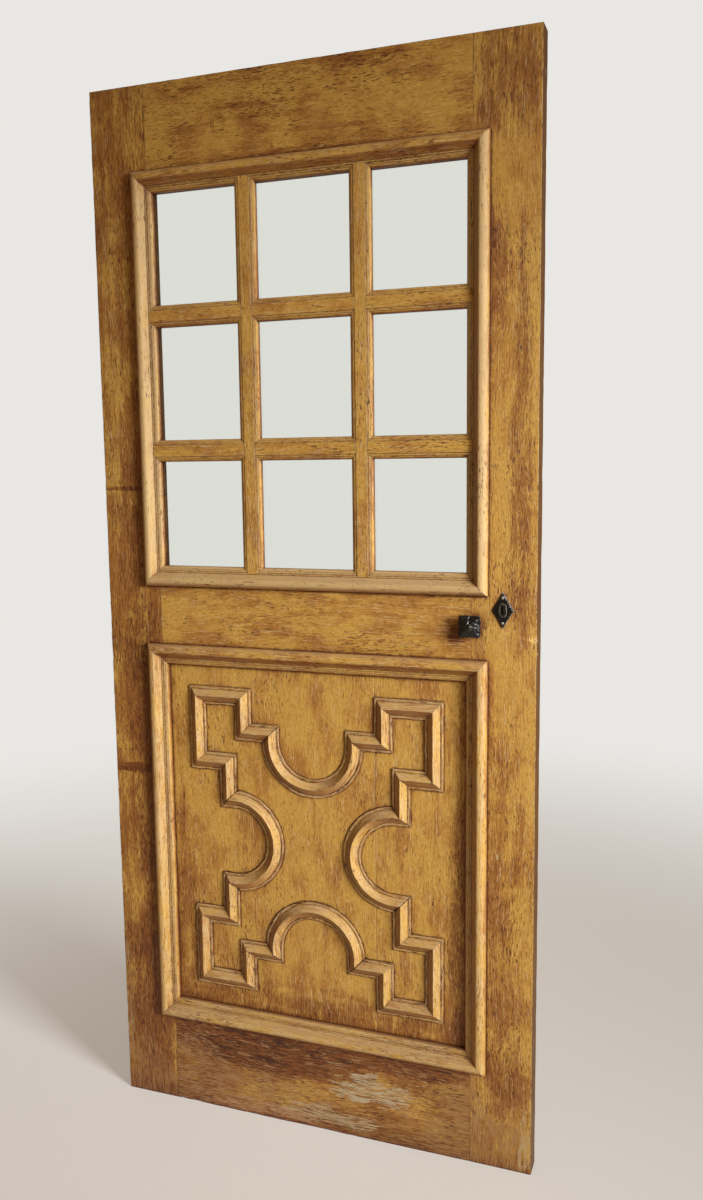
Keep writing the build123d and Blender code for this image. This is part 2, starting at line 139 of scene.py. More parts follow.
# %% [markdown]
# ## Which arrises wear
# On the real door only what stands free is rubbed. An edge that sits on another piece is a joint line,
# and rounding it would open a gap. Such edges could be listed by hand for each piece, but a test finds
# them as well: a free arris is sharp, points outwards, runs along the piece and doesn't lie in the plane
# of the face below it. The framing wears only along the outside of the leaf.

# %% Find the free arrises
touching = 0.0001
sharp_turn = radians(30)
nearly_along = 0.99
leaf_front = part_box("lock_stile")[0].y
panel_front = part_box("panel_board_left")[0].y
leaf_sides = ((0, cad_box[0].x), (0, cad_box[1].x), (2, cad_box[0].z), (2, cad_box[1].z))


def is_sharp(edge):
    """True for an outer edge where the surface turns sharply."""
    return edge.is_convex and edge.calc_face_angle() > sharp_turn


def free_arris(edge, run, seats):
    """True for a sharp edge along the run that doesn't sit on another piece."""
    first, second = (vertex.co for vertex in edge.verts)
    seated = any(abs(first.y - seat) < touching and abs(second.y - seat) < touching for seat in seats)
    along = run is None or abs((second - first).normalized().dot(run)) > nearly_along
    return along and not seated and is_sharp(edge)


def on_outline(edge):
    """True for a sharp edge on the outside of the whole leaf."""
    at_side = any(all(abs(vertex.co[axis] - side) < touching for vertex in edge.verts)
                  for axis, side in leaf_sides)
    return at_side and is_sharp(edge)


print("moulded front at", round(leaf_front, 4), "and panel front at", round(panel_front, 4))

# %% [markdown]
# ## Nicks and rounding
# Wear comes in two kinds: a slow rub, which varies over a hand's width, and knocks, which are short and
# deep. Both could be sculpted, but noise at each corner gives the same on every run: a wide noise for
# the rub, and the rare peaks of a finer one for the knocks.

# %% Nick and round a shape
rub_waves = 22
usual_rub = 0.5
knock_waves = 60
knock_shift = Vector((7, 7, 7))
knock_from = 0.25
knock_depth = 4
bevel_segments = 3


def nick(edges, depth):
    """Push the corners of these arrises in, unevenly, and deeper where a knock took more."""
    ends = [vertex for edge in edges for vertex in edge.verts]
    for vertex in sorted({vertex for vertex in ends if ends.count(vertex) > 1}, key=lambda v: v.index):
        rub = max(0, usual_rub + noise.noise(vertex.co * rub_waves))
        knock = max(0, noise.noise(vertex.co * knock_waves + knock_shift) - knock_from) * knock_depth
        vertex.co -= vertex.normal * depth * (rub + knock)


def worn_copy(name, shape, run, step, picks, body):
    """Show a worn shape in a piece's stead; each pick is a test for arrises, their radius and wear."""
    if run is not None:
        cut_across(shape, run, step)
        shape.normal_update()
    for test, radius, depth in picks:
        if depth:
            nick([edge for edge in shape.edges if test(edge)], depth)
    for test, radius, depth in picks:
        bmesh.ops.bevel(shape, geom=[edge for edge in shape.edges if test(edge)], offset=radius,
                        offset_type="OFFSET", segments=bevel_segments, profile=0.5, affect="EDGES",
                        clamp_overlap=False, material=-1)
    for face in shape.faces:
        face.smooth = True
    for edge in shape.edges:
        edge.smooth = edge.calc_face_angle(0) < sharp_turn
    mesh = bpy.data.meshes.new(f"{name}_worn")
    shape.to_mesh(mesh)
    shape.free()
    piece = bpy.data.objects.new(f"{name}_worn", mesh)
    bpy.context.scene.collection.objects.link(piece)
    even = piece.modifiers.new("flat_faces_stay_flat", "WEIGHTED_NORMAL")
    even.keep_sharp = True
    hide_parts(name)
    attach(piece, body)
    return piece


# %% [markdown]
# ## Crests of the mouldings and the straps
# The crest of a moulding stands proudest and is worn most, while its inner edges stay nearly crisp. A
# strap is a ridge between two low strips, and the walls of those strips have been brushed round by the
# cloths that ran along them. One radius for all edges would look like a casting, so each edge is sorted
# by its place: crest, outer or inner.

# %% Sort the arrises of a moulding
seats = (leaf_front, panel_front)
wall_tilt = 0.05
strap_crest = (0.003, 0.0006)
strap_outer = (0.0024, 0.0003)
strap_inner_radius = 0.0002


def crest_and_rest(name, run, crest_radius, depth, radius):
    """Arrises of a moulding: its highest ones get the first radius and are nicked, the others aren't."""
    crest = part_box(name)[0].y

    def is_crest(edge):
        return free_arris(edge, run, seats) and all(vertex.co.y < crest + touching for vertex in edge.verts)

    def is_other(edge):
        return free_arris(edge, run, seats) and not is_crest(edge)

    return [(is_other, radius, 0), (is_crest, crest_radius, depth)]


def strap_picks(name, run):
    """Arrises of a strap: the inner ones, the outer ones of its strips, and the crest."""
    others, crest = crest_and_rest(name, run, *strap_crest, strap_inner_radius)

    def is_outer(edge):
        return others[0](edge) and any(abs(face.normal.y) < wall_tilt for face in edge.link_faces)

    def is_inner(edge):
        return others[0](edge) and not is_outer(edge)

    return [(is_inner, strap_inner_radius, 0), (is_outer, *strap_outer), crest]


# %% [markdown]
# ## Grooves and the seam full of wax
# The fine grooves beside a bead and the joint between the panel's two boards were cut open, and
# many coats of wax have nearly closed them. Left open, they would show as black lines as thin
# as a hair, which flicker in a render. So their floors are lifted to where the wax stands now. The
# bottom moulding of the panel is like a sill, and its grooves hold the most.

# %% Fill the grooves and the seam
groove_floors = ((0.0017, 0.0031), (0.0006, 0.002))
more_on_sill = 0.0002
seam_depth = 0.002
seam_filled = 0.0002
sill = "lower_moulding_bottom"


def filled_grooves(name, face):
    """Moulding whose grooves are nearly full, so that their floors stand higher above its face."""
    shape = merged(name)
    more = more_on_sill if name == sill else 0
    for vertex in shape.verts:
        for floor, filled in groove_floors:
            if abs(face - vertex.co.y - floor) < touching / 5:
                vertex.co.y = face - filled - more
                break
    return shape


def filled_seam(name):
    """Board of the panel whose V joint is nearly closed."""
    shape = merged(name)
    for vertex in shape.verts:
        if panel_front + touching < vertex.co.y < panel_front + seam_depth:
            vertex.co.y = panel_front + seam_filled
    return shape


# %% [markdown]
# ## Grain round the arcs
# The half-round straps were turned or carved, and what one sees on them runs round the curve. Object
# coordinates would draw it straight through. A UV map would do, but a grain needs three coordinates, so
# each arc stores its own: across the strap, through the wood and along the curve.

# %% Coordinates that follow the arcs
arc_mean_radius = 0.085


def arc_middles(name):
    """Middles of a piece's two arcs: each arc comes in from its middle as far as it reaches sideways."""
    low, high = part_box(name)
    centre = (low + high) / 2
    out, side = (2, 0) if "top_bottom" in name else (0, 2)
    inmost = min(abs(vertex.co[out] - centre[out]) for vertex in pieces[name].data.vertices)
    middles = []
    for way in (1, -1):
        middle = centre.copy()
        middle[out] += way * (inmost + (high - low)[side] / 2)
        middles.append((middle, (centre - middle).normalized()))
    return middles


def bend_grain(piece, name):
    """Store grain coordinates that follow the arcs: across, through and along."""
    middles = arc_middles(name)
    bent = piece.data.attributes.new("along_arc", "FLOAT_VECTOR", "POINT")
    for vertex, entry in zip(piece.data.vertices, bent.data):
        middle, inward = min(middles, key=lambda pair: (pair[0] - vertex.co).length)
        reach = vertex.co - middle
        radius = hypot(reach.x, reach.z)
        turn = atan2(inward.x * reach.z - inward.z * reach.x, inward.x * reach.x + inward.z * reach.z)
        entry.vector = (middle.x + radius, vertex.co.y, middle.z + turn * arc_mean_radius)


print("middle of the top arc", [round(value, 4) for value in arc_middles("strap_arcs_top_bottom")[0][0]])

# %% [markdown]
# ## The worn wood
# Every length runs either level or upright, and its grain with it. The loop below gives each kind of
# piece its step between cuts, its radii and its wear. The panes, the beads behind them and the lock's
# spindle stay as they are packed, because nobody ever rubs them.

# %% Worn copies of the wood
level_names = ("rail", "_bottom", "_top", "cross_bars", "level", "crosspieces")
upright_names = ("uprights", "arcs")
along_x = Vector((1, 0, 0))
along_z = Vector((0, 0, 1))
framing_step, outline_radius, outline_wear = 0.016, 0.0012, 0.0006
strap_step = 0.009
moulding_step, moulding_wear = 0.014, (0.001, 0.00035, 0.00018)
bar_step, bar_wear = 0.011, (0.0007, 0.0003, 0.0002)


def is_level(name):
    """True where a piece runs level, so its grain does too."""
    return any(part in name for part in level_names) and not any(part in name for part in upright_names)


def is_framing(name):
    """True for the stiles and the rails."""
    return "stile" in name or "rail" in name


def worn_wood(name):
    """Worn copy of a wooden piece, or the piece itself where nothing wears it."""
    run = along_x if is_level(name) else along_z
    if is_framing(name):
        picks = [(on_outline, outline_radius, outline_wear)]
        return worn_copy(name, merged(name), run, framing_step, picks, "leaf")
    if name.startswith("panel_board"):
        return worn_copy(name, filled_seam(name), None, 0, [], "leaf")
    if "arcs" in name:
        picks = strap_picks(name, None)
        arcs = worn_copy(name, filled_grooves(name, panel_front), None, 0, picks, "leaf")
        bend_grain(arcs, name)
        return arcs
    if name.startswith("strap"):
        picks = strap_picks(name, run)
        return worn_copy(name, filled_grooves(name, panel_front), run, strap_step, picks, "leaf")
    if "moulding" in name:
        picks = crest_and_rest(name, run, *moulding_wear)
        return worn_copy(name, filled_grooves(name, leaf_front), run, moulding_step, picks, "leaf")
    if "bar" in name:
        picks = crest_and_rest(name, run, *bar_wear)
        return worn_copy(name, filled_grooves(name, leaf_front), run, bar_step, picks, "leaf")
    return pieces[name]


shown = {name: worn_wood(name) for name in pieces}
counts = {name: len(shown[name].data.polygons) for name in shown if shown[name] is not pieces[name]}
print(len(counts), "worn pieces with", sum(counts.values()), "faces, most in", max(counts, key=counts.get))

# %% [markdown]
# ## Nodes and colours
# Every material below is built from nodes. One helper adds a node, sets what it needs and links it, and
# one function turns the colours, written as they look on a screen, into the linear values that a
# renderer works with.

# %% Helpers for nodes and colours
def linear(text):
    """Turn a colour such as #C2984A into linear red, green, blue and alpha."""
    values = [int(text[start:start + 2], 16) / 255 for start in (1, 3, 5)]
    curve = [value / 12.92 if value <= 0.04045 else ((value + 0.055) / 1.055) ** 2.4 for value in values]
    return (*curve, 1.0)


def add_node(tree, kind, inputs=None, **settings):
    """Add a node with its settings, and fill or link its inputs."""
    node = tree.nodes.new(kind)
    for name, value in settings.items():
        setattr(node, name, value)
    for socket, value in (inputs or {}).items():
        if isinstance(value, bpy.types.NodeSocket):
            tree.links.new(value, node.inputs[socket])
        else:
            node.inputs[socket].default_value = value
    return node


def every(millimetres):
    """Scale of a pattern whose features are this wide."""
    return 1000 / millimetres


print("ochre pine in linear light", [round(value, 3) for value in linear("#BF9445")[:3]])

# %% [markdown]
# ## How the finish is laid on
# Real finishes come in coats: bare pine, stain, wax, dirt, and then what was rubbed off again. One
# colour ramp could blend them all, but then a change to one would shift the others. So the material is
# built as the real finish is: each coat is a colour laid over what is below it, through a mask that is
# opened between a low and a high value. Most masks are sums of several patterns, each with its weight.

# %% One coat of colour, and a sum of patterns
def coat(tree, below, colour, mask, low, high, strength):
    """Lay a colour over another where the mask rises from low to high."""
    amount = add_node(tree, "ShaderNodeMapRange",
                      {"Value": mask, "From Min": low, "From Max": high, "To Max": strength},
                      interpolation_type="SMOOTHSTEP")
    mixed = add_node(tree, "ShaderNodeMix",
                     {0: amount.outputs["Result"], 6: below, 7: linear(colour)}, data_type="RGBA")
    return mixed.outputs[2]


def summed(tree, total, *parts):
    """A value plus each part times its weight."""
    for part, weight in parts:
        total = add_node(tree, "ShaderNodeMath", {0: part, 1: weight, 2: total},
                         operation="MULTIPLY_ADD").outputs[0]
    return total


# %% [markdown]
# ## The grain of old pine
# Pine has soft pale early wood and hard dark late wood, which show as streaks along the board. Old stain
# sits deepest in fine broken strokes, and where more dirt came, there are simply more strokes, until
# they run together. Painted shade in corners and on the sides that look down is laid the same way, as
# more brown strokes. A soft cloud of brown would look like mist on the wood, so a stain isn't painted:
# it only lowers the threshold above which the noise of the strokes turns brown. Rubbed places work the
# same way with pale strokes. All of it is stretched along one axis, the grain. Real fibres are a tenth
# of a millimetre wide, too fine to show here, so the strokes are drawn as coarse as they need to be.

# %% Strokes that run along the board
# Each kind: width and length in millimetres, then detail and roughness of its noise
stroke_kinds = {
    "late_wood": (1.7, 110, 3, 0.6),
    "fibre": (2.3, 16, 6, 0.8),
    "rubbed_fibre": (2.4, 45, 4, 0.7),
    "pore": (2.2, 14, 3, 0.6),
    "speck": (3.6, 8, 4, 0.8),
    "crack": (3.0, 70, 2, 0.5),
    "streak": (14, 300, 3, 0.55),
}
# Patches are too wide to tremble with the strokes
patch_kinds = {"mottle": (55, 90, 4, 0.6), "crowd": (90, 160, 2, 0.5)}
bend_width, bend_reach = 260, 0.035
tremble_width, tremble_reach = 22, 0.004


def strokes(tree, board, width, length, detail, roughness):
    """Noise whose features are this wide and this long, in millimetres."""
    stretched = add_node(tree, "ShaderNodeMapping", {"Vector": board, "Scale": (1, 1, width / length)})
    return add_node(tree, "ShaderNodeTexNoise", {
        "Vector": stretched.outputs[0], "Scale": every(width), "Detail": detail, "Roughness": roughness,
    }).outputs["Fac"]


def wandering(tree, given):
    """Grain coordinates with slow bends and a fine tremble, so that no stroke runs dead straight."""
    board = given
    for width, reach in ((bend_width, bend_reach), (tremble_width, tremble_reach)):
        sway = add_node(tree, "ShaderNodeTexNoise", {"Vector": given, "Scale": every(width), "Detail": 1})
        board = add_node(tree, "ShaderNodeVectorMath",
                         {0: sway.outputs["Color"], 1: (reach, reach, 0.0), 2: board},
                         operation="MULTIPLY_ADD").outputs[0]
    return board


print(len(stroke_kinds), "kinds of strokes and", len(patch_kinds), "of patches")

# %% Masks, colours and heights of the grain
hole_distance = 15
hole_rarity = 0.12
# From the bare wood up: colour, mask, where the mask starts and ends, and how well the coat covers
grain_coats = (
    ("#AD7A34", "mottle", 0.43, 0.62, 0.9),
    ("#D3AB58", "late_wood", 0.46, 0.34, 0.65),
    ("#9A682C", "cloud", 0.84, 1.06, 0.8),
    ("#7E4C1F", "cloud", 1.04, 1.32, 0.7),
    ("#84511F", "speck", 0.55, 0.66, 0.6),
    ("#DDB565", "speck", 0.45, 0.34, 0.55),
    ("#93602A", "brown", 1.1, 1.2, 0.7),
    ("#74401A", "brown", 1.2, 1.32, 0.8),
    ("#C8AC7C", "rubbed", 0.7, 0.82, 0.8),
    ("#56290D", "pores", 0.77, 0.84, 0.85),
    ("#3A1A0A", "cracks", 0.82, 0.87, 0.8),
    ("#331B0B", "holes", 0.1, 0.06, 0.9),
)


def grain_masks(tree, given, board):
    """Strokes and patches, and what stain and rubbing make of them."""
    masks = {kind: strokes(tree, board, *shape) for kind, shape in stroke_kinds.items()}
    masks |= {kind: strokes(tree, given["Vector"], *shape) for kind, shape in patch_kinds.items()}
    # The stain given in also holds painted shade from corners and from the sides that look down
    stain, rub, mottle, streak = given["Stain"], given["Rub"], masks["mottle"], masks["streak"]
    masks["cloud"] = summed(tree, mottle, (streak, 0.6), (stain, 0.3))
    masks["brown"] = summed(tree, masks["fibre"], (masks["late_wood"], 0.45), (stain, 0.34), (streak, 0.2),
                            (mottle, 0.35))
    masks["rubbed"] = summed(tree, masks["rubbed_fibre"], (mottle, 0.2), (rub, 0.34))
    masks["pores"] = summed(tree, masks["pore"], (masks["crowd"], 0.3), (stain, 0.1))
    masks["cracks"] = summed(tree, masks["crack"], (rub, 0.14), (stain, 0.2))
    # Worm holes: the middles of cells, of which only those with a low lot are open
    cells = add_node(tree, "ShaderNodeTexVoronoi", {"Vector": board, "Scale": every(hole_distance)})
    lot = add_node(tree, "ShaderNodeSeparateColor", {"Color": cells.outputs["Color"]})
    masks["holes"] = summed(tree, cells.outputs["Distance"], (lot.outputs["Red"], hole_rarity))
    return masks


def grain_group():
    """Group that turns grain coordinates in metres, stain with painted shade and rubbing into colour and
    height.
    """
    tree = bpy.data.node_groups.new("old_pine_grain", "ShaderNodeTree")
    tree.interface.new_socket("Vector", in_out="INPUT", socket_type="NodeSocketVector")
    for name in ("Stain", "Rub"):
        tree.interface.new_socket(name, in_out="INPUT", socket_type="NodeSocketFloat")
    tree.interface.new_socket("Color", in_out="OUTPUT", socket_type="NodeSocketColor")
    for name in ("Height", "Gloss", "Fibre"):
        tree.interface.new_socket(name, in_out="OUTPUT", socket_type="NodeSocketFloat")
    given = tree.nodes.new("NodeGroupInput").outputs
    masks = grain_masks(tree, given, wandering(tree, given["Vector"]))
    colour = linear("#BF9445")
    for tint, mask, start, full, strength in grain_coats:
        colour = coat(tree, colour, tint, masks[mask], start, full, strength)
    # Heights in millimetres: sunk strokes, ribs of late wood, the waves of a hand plane, and pits
    pit = add_node(tree, "ShaderNodeMapRange",
                   {"Value": masks["pores"], "From Min": 0.79, "From Max": 0.85, "To Max": -0.3})
    height = summed(tree, 0.0, (masks["speck"], -1.4), (masks["late_wood"], 0.6), (masks["mottle"], 0.8),
                    (pit.outputs["Result"], 1.0))
    gloss = summed(tree, masks["mottle"], (masks["fibre"], 0.5))
    output = tree.nodes.new("NodeGroupOutput")
    for name, socket in (("Color", colour), ("Height", height), ("Gloss", gloss),
                         ("Fibre", masks["rubbed_fibre"])):
        tree.links.new(socket, output.inputs[name])
    return tree


grain = grain_group()
print("grain group with", len(grain.nodes), "nodes")

# %% [markdown]
# ## Marks that are only in one place
# A knot, a scratch or a patch where the stain is gone sits at one place of one piece. It could be an
# image or a decal, but a ragged blob that steers the coats looks more like a part of the wood. The blob
# is a distance from the mark's middle, torn by noise. The same mark on two pieces runs on across their
# joint, because its noise is tied to the mark and not to the piece.

# %% How near a point is to a mark
mark_depth = 0.03
tear_waves = 1.6
mark_full, mark_end = 0.4, 1.0


def near_mark(tree, place, centre, size, torn):
    """How near a point is to a mark on the leaf's front, 1 in its middle and 0 from its edge on."""
    reach = Vector((size[0] / 2000, mark_depth, size[1] / 2000))
    middle = Vector((centre[0] / 1000, leaf_front, centre[1] / 1000))
    fitted = add_node(tree, "ShaderNodeMapping", {
        "Vector": place,
        "Location": [-at / half for at, half in zip(middle, reach)],
        "Scale": [1 / half for half in reach],
    })
    ragged = add_node(tree, "ShaderNodeTexNoise",
                      {"Vector": fitted.outputs[0], "Scale": tear_waves, "Detail": 4, "Roughness": 0.6})
    shifted = add_node(tree, "ShaderNodeVectorMath",
                       {0: ragged.outputs["Color"], 1: (-0.5, -0.5, -0.5)}, operation="ADD")
    bent = add_node(tree, "ShaderNodeVectorMath",
                    {0: shifted.outputs[0], 1: (torn,) * 3, 2: fitted.outputs[0]}, operation="MULTIPLY_ADD")
    distance = add_node(tree, "ShaderNodeVectorMath", {0: bent.outputs[0]}, operation="LENGTH")
    return add_node(tree, "ShaderNodeMapRange",
                    {"Value": distance.outputs["Value"], "From Min": mark_end, "From Max": mark_full},
                    interpolation_type="SMOOTHSTEP").outputs["Result"]


# %% [markdown]
# ## Where hands and dirt get to, and where shade is painted
# Hands and washing rub the colour off the arrises, and dirt and old wax stay in the corners, where shade is
# also painted. This could be painted by hand on every piece. Two nodes find it instead: the Bevel node
# bends the normal near an edge, so an edge is where it differs from the flat face's, and the Ambient
# Occlusion node tells how closed in a point is.

# %% Edges and the outside of the leaf
rim_width = 0.004
edge_samples = 6
leaf_inner = (cad_box[1] - cad_box[0]) / 2 - Vector((rim_width, 0, rim_width))


def edge_match(tree, radius):
    """Normal that is rounded near the edges, and how well it matches that of the flat face."""
    rounded = add_node(tree, "ShaderNodeBevel", {"Radius": radius}, samples=edge_samples).outputs[0]
    flat = add_node(tree, "ShaderNodeNewGeometry").outputs["True Normal"]
    match = add_node(tree, "ShaderNodeVectorMath", {0: rounded, 1: flat}, operation="DOT_PRODUCT")
    return rounded, match.outputs["Value"]


def leaf_rim(tree, place):
    """1 on the outside of the whole leaf and 0 elsewhere."""
    outside = add_node(tree, "ShaderNodeVectorMath", {0: place, 1: leaf_middle}, operation="SUBTRACT")
    outside = add_node(tree, "ShaderNodeVectorMath", {0: outside.outputs[0]}, operation="ABSOLUTE")
    outside = add_node(tree, "ShaderNodeVectorMath", {0: outside.outputs[0], 1: leaf_inner},
                       operation="SUBTRACT")
    reach = add_node(tree, "ShaderNodeSeparateXYZ", {"Vector": outside.outputs[0]}).outputs
    reach = add_node(tree, "ShaderNodeMath", {0: reach["X"], 1: reach["Z"]}, operation="MAXIMUM")
    return add_node(tree, "ShaderNodeMath", {0: reach.outputs[0], 1: 0.0},
                    operation="GREATER_THAN").outputs[0]


print("rim of the leaf begins at", [round(value, 3) for value in leaf_inner], "from its middle")

# %% [markdown]
# ## Stained and waxed pine
# This is the finish itself: pine from the sawmill, planed by hand, stained ochre and waxed, so that it
# has a soft sheen and never a mirror's. Each piece could have a material of its own kind, but one
# function makes them all, and only the stain, the rubbing and the marks differ. It lays the coats in
# the order in which they came to the wood: grain, patches, dust, chips, and wax in the corners last.
# Painted shade goes in among them: redder sides that look down or to the hinges, and dark corners.

# %% Stain, painted shade and rubbing of one piece
edge_radius = 0.002
wax_and_shade_reach = 0.004
shade_reach = 0.05
strap_strip_height = 0.0035
strip_front = panel_front - strap_strip_height - touching
arris_rub = 1.3
corner_dirt_and_shade = 0.9
shade_looking_down = 0.2
dirt_and_shade_on_strips = 0.4
knot_ring = 0.16
ring_stain = 6
knot_wipe = -0.2
patch_edge = (1.46, 1.7, 0.85)
fibre_in_patch = 1.6


def stain_shade_and_rub(tree, name, place, facing, closed, exposed, arris):
    """How stained, how darkened by painted shade and how rubbed each point of a piece is."""
    stain, worn = next(value for key, value in finishes.items() if name.startswith(key))
    # Closed-in places get more brown strokes: partly dirt, partly painted shade beside the mouldings
    dirt_and_shade = add_node(tree, "ShaderNodeMapRange",
                    {"Value": closed, "From Min": 0.9, "From Max": 0.45, "To Min": stain,
                     "To Max": stain + corner_dirt_and_shade}).outputs["Result"]
    # Painted shade: surfaces that look down get more brown strokes
    below = add_node(tree, "ShaderNodeMapRange", {"Value": facing, "From Min": -0.15, "From Max": -0.7})
    dirt_and_shade = summed(tree, dirt_and_shade, (below.outputs["Result"], shade_looking_down))
    if name.startswith("strap"):
        # The flat strips beside a strap lie low, where wax and dust were never wiped away, and their
        # darkening is also painted shade
        depth = add_node(tree, "ShaderNodeSeparateXYZ", {"Vector": place}).outputs["Y"]
        low = add_node(tree, "ShaderNodeMath", {0: depth, 1: strip_front}, operation="GREATER_THAN")
        dirt_and_shade = summed(tree, dirt_and_shade, (low.outputs[0], dirt_and_shade_on_strips))
    rub = summed(tree, 0.0, (exposed, worn), (arris, arris_rub if worn else 0.0))
    for kind, centre, size, strength, torn in marks.get(name, ()):
        mark = near_mark(tree, place, centre, size, torn)
        if kind == "stain":
            dirt_and_shade = summed(tree, dirt_and_shade, (mark, strength))
        if kind == "rub":
            rub = summed(tree, rub, (mark, strength))
            dirt_and_shade = summed(tree, dirt_and_shade, (mark, -strength))
        if kind == "knot":
            rings = add_node(tree, "ShaderNodeMath", {0: mark, 1: knot_ring}, operation="PINGPONG")
            dirt_and_shade = summed(tree, dirt_and_shade, (rings.outputs[0], strength * ring_stain), (mark, knot_wipe))
    return dirt_and_shade, rub


def patched(tree, name, place, colour, fibre):
    """Lay a piece's coloured patches over its wood, broken up by the fibre."""
    for kind, centre, size, strength, torn in marks.get(name, ()):
        if kind.startswith("#"):
            near = near_mark(tree, place, centre, size, torn)
            broken = summed(tree, 0.0, (near, strength), (fibre, fibre_in_patch))
            colour = coat(tree, colour, kind, broken, *patch_edge)
    return colour


# %% Pine for one piece
shade_samples = 6
chip_width = 6
joint_dirt = 0.7


def pine(name, shift):
    """Stained pine whose grain runs level or upright, shifted so that no two pieces are alike."""
    material = bpy.data.materials.new(f"pine_{name}")
    material.use_nodes = True
    tree = material.node_tree
    shader = tree.nodes["Principled BSDF"]
    place = add_node(tree, "ShaderNodeTexCoord").outputs["Object"]
    along = add_node(tree, "ShaderNodeAttribute", attribute_name="along_arc").outputs["Vector"]
    turned = add_node(tree, "ShaderNodeMapping", {
        "Vector": along if "arcs" in name else place,
        "Location": (0.37 * shift, 0.53 * shift, 0.71 * shift),
        "Rotation": (0, pi / 2 if is_level(name) else 0, 0),
    }).outputs[0]
    normal = add_node(tree, "ShaderNodeNewGeometry").outputs["Normal"]
    normal = add_node(tree, "ShaderNodeSeparateXYZ", {"Vector": normal}).outputs
    facing = normal["Z"]
    shade_side = add_node(tree, "ShaderNodeMath", {0: normal["X"], 1: facing}, operation="MINIMUM").outputs[0]
    closed, tight = (add_node(tree, "ShaderNodeAmbientOcclusion", {"Distance": reach},
                              samples=shade_samples).outputs["AO"] for reach in (shade_reach, wax_and_shade_reach))
    nicks = add_node(tree, "ShaderNodeTexNoise", {
        "Vector": turned, "Scale": every(chip_width), "Detail": 3, "Roughness": 0.7}).outputs["Fac"]

    # A rubbed arris is where the rounded normal leaves the flat one, and where nothing closes it in
    rounded, match = edge_match(tree, edge_radius)
    edge = add_node(tree, "ShaderNodeMapRange",
                    {"Value": match, "From Min": 0.99, "From Max": 0.95}).outputs["Result"]
    exposed = add_node(tree, "ShaderNodeMapRange",
                       {"Value": closed, "From Min": 0.72, "From Max": 0.94}).outputs["Result"]
    arris = add_node(tree, "ShaderNodeMath", {0: edge, 1: exposed}, operation="MULTIPLY").outputs[0]
    if is_framing(name):
        # Only the outside of the leaf is rubbed, and the other edges of its framing are joints
        rim = leaf_rim(tree, place)
        arris = add_node(tree, "ShaderNodeMath", {0: arris, 1: rim}, operation="MULTIPLY").outputs[0]
        joint = add_node(tree, "ShaderNodeMath", {0: edge, 1: rim}, operation="SUBTRACT").outputs[0]

    dirt_and_shade, rub = stain_shade_and_rub(tree, name, place, facing, closed, exposed, arris)
    wood = add_node(tree, "ShaderNodeGroup", node_tree=grain)
    for socket, value in (("Vector", turned), ("Stain", dirt_and_shade), ("Rub", rub)):
        tree.links.new(value, wood.inputs[socket])
    colour = patched(tree, name, place, wood.outputs["Color"], wood.outputs["Fibre"])

    # Sides that look down or to the hinges, turned from the lamp, are painted redder and darker as shade
    colour = coat(tree, colour, "#84471C", shade_side, -0.2, -0.65, 0.5)
    # Dust greys what looks up, and a chip in an arris shows the dark wood under the finish
    colour = coat(tree, colour, "#B0926A", facing, 0.3, 0.8, 0.45)
    chipped = add_node(tree, "ShaderNodeMath", {0: arris, 1: nicks}, operation="MULTIPLY").outputs[0]
    colour = coat(tree, colour, "#5A3413", chipped, 0.44, 0.56, 0.8)
    # Dark old wax fills the corners, unevenly, and least on the sill, which was wiped most, and the same
    # coats paint the shade of the corners and grooves
    wax_and_shade = summed(tree, tight, (nicks, 0.9))
    wiped = name == sill
    # Painted shade with some dirt: a broad brown darkening beside the mouldings and in corners
    colour = coat(tree, colour, "#6B3412", closed, 0.7, 0.4, 0.4)
    colour = coat(tree, colour, "#5A280C", wax_and_shade, 1.35, 1.13, 0.45 if wiped else 0.9)
    colour = coat(tree, colour, "#301606", wax_and_shade, 1.17, 0.91, 0.1 if wiped else 0.9)
    # Painted shade: near black deep in holes such as the keyhole
    colour = coat(tree, colour, "#120904", closed, 0.3, 0.12, 0.95)
    if is_framing(name):
        # Dirt marks the joints of the two pieces that have shrunk, and the lock edge is darkened, partly by
        # dirt and partly as painted shade
        broken_joint = summed(tree, joint, (nicks, 1.0))
        opened = joint_dirt if name in open_joints else 0.0
        colour = coat(tree, colour, "#3A1D0A", broken_joint, 1.35, 1.6, opened)
        # Sides that face the lock: dark brown, partly dirt and partly painted shade
        colour = coat(tree, colour, "#4A2A12", normal["X"], 0.6, 0.95, 0.9)
    tree.links.new(colour, shader.inputs["Base Color"])

    # Wax shines where it was polished, and less on rough fibre
    sheen = add_node(tree, "ShaderNodeMapRange",
                     {"Value": wood.outputs["Gloss"], "From Min": 0.5, "From Max": 1.0, "To Min": 0.4,
                      "To Max": 0.62})
    tree.links.new(sheen.outputs["Result"], shader.inputs["Roughness"])
    bump = add_node(tree, "ShaderNodeBump",
                    {"Strength": 0.8, "Distance": 0.001, "Height": wood.outputs["Height"], "Normal": rounded})
    tree.links.new(bump.outputs[0], shader.inputs["Normal"])
    shader.inputs["Specular IOR Level"].default_value = 0.35
    return material


# %% [markdown]
# ## Which piece got what
# A joiner runs the grain along every length, because wood is strong that way. Rails, level mouldings
# and cross bars have it level, and everything else upright. The bottom rail has seen the most dirt and
# water, so it gets more stain. The stile at the hinges, the top rail and the top of the lock stile get
# more too, partly for dirt and partly as painted shade where the light falls off to the left and to the
# top. Every piece that shows a mark in the photograph gets it at its place: knots, scratches, worn
# patches and the smudge beside the knob, which is partly a stain and partly the knob's painted shadow.

# %% Stain, rubbing and marks of every piece
open_joints = ("hinge_stile", "lock_rail")
